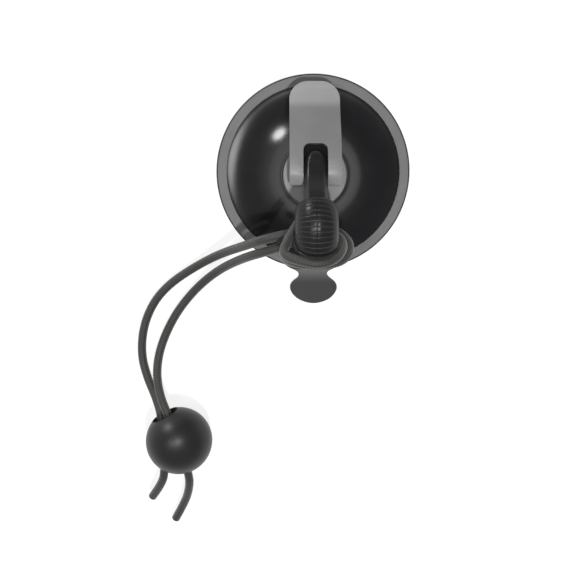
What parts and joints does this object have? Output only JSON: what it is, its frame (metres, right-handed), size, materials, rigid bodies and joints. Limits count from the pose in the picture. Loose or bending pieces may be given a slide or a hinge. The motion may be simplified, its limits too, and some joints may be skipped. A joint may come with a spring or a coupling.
{
  "type": "lever suction anchor",
  "caption": "Lever-lock suction cup with a ribbed hook, and a bungee cord hitched on the hook with a ball toggle on its strands.",
  "frame": {"origin": "centre of the cup's sealing face, on the surface that the cup sticks to", "axes": "+Z along the cup's axis, away from the surface; +Y towards the lever's tip; +X to the right, seen from +Z with the lever's tip up"},
  "size_m": [0.1234, 0.2082, 0.054],
  "materials": {
    "cup_rubber": "matte grey rubber, slightly soft sheen",
    "steel": "plain zinc-plated steel",
    "housing_plastic": "polished black moulded plastic",
    "bush_plastic": "natural acetal",
    "cam_plastic": "satin grey moulded plastic",
    "lever_plastic": "satin grey moulded plastic with a faint grain",
    "hook_plastic": "semi-gloss black moulded plastic",
    "grip_plastic": "semi-gloss black moulded plastic, ribbed",
    "cord_braid": "dark braided polyester sheath over rubber strands",
    "ball_plastic": "satin black moulded plastic",
    "liner_rubber": "black rubber"
  },
  "bodies": {
    "base": {"suction_disc": "cup_rubber", "housing": "housing_plastic", "cam_plate": "cam_plastic", "cam_plate_screws": "steel", "stem_bush": "bush_plastic", "return_spring": "steel", "cord_strand_a": "cord_braid", "cord_strand_b": "cord_braid"},
    "draw": {"anchor_plate": "steel", "draw_stem": "steel", "spring_washer": "steel", "lever_pin": "steel", "hook_arm": "hook_plastic", "grip_half_left": "grip_plastic", "grip_half_right": "grip_plastic", "grip_screws": "steel", "cord_retainer": "grip_plastic", "retainer_screw": "steel", "cord_hitch": "cord_braid"},
    "lever": {"lever": "lever_plastic"},
    "toggle": {"ball_toggle": "ball_plastic", "toggle_liner": "liner_rubber"}
  },
  "joints": [
    {"name": "stem_slide", "type": "slide", "parent": "base", "child": "draw", "axis": [0, 0, -1], "range_m": [0, 0.0014], "deforming": ["suction_disc", "return_spring", "cord_strand_a", "cord_strand_b"]},
    {"name": "lever_hinge", "type": "hinge", "parent": "draw", "child": "lever", "pos_m": [0, 0, 0.0276], "axis": [1, 0, 0], "range_deg": [0, 85]},
    {"name": "toggle_slide", "type": "slide", "parent": "base", "child": "toggle", "axis": [0.1655, -0.9862, 0], "range_m": [-0.0025, 0.0025]}
  ],
  "couplings": [
    {"joint": "lever_hinge", "follows": "stem_slide", "rad_per_m": 1059.7}
  ]
}
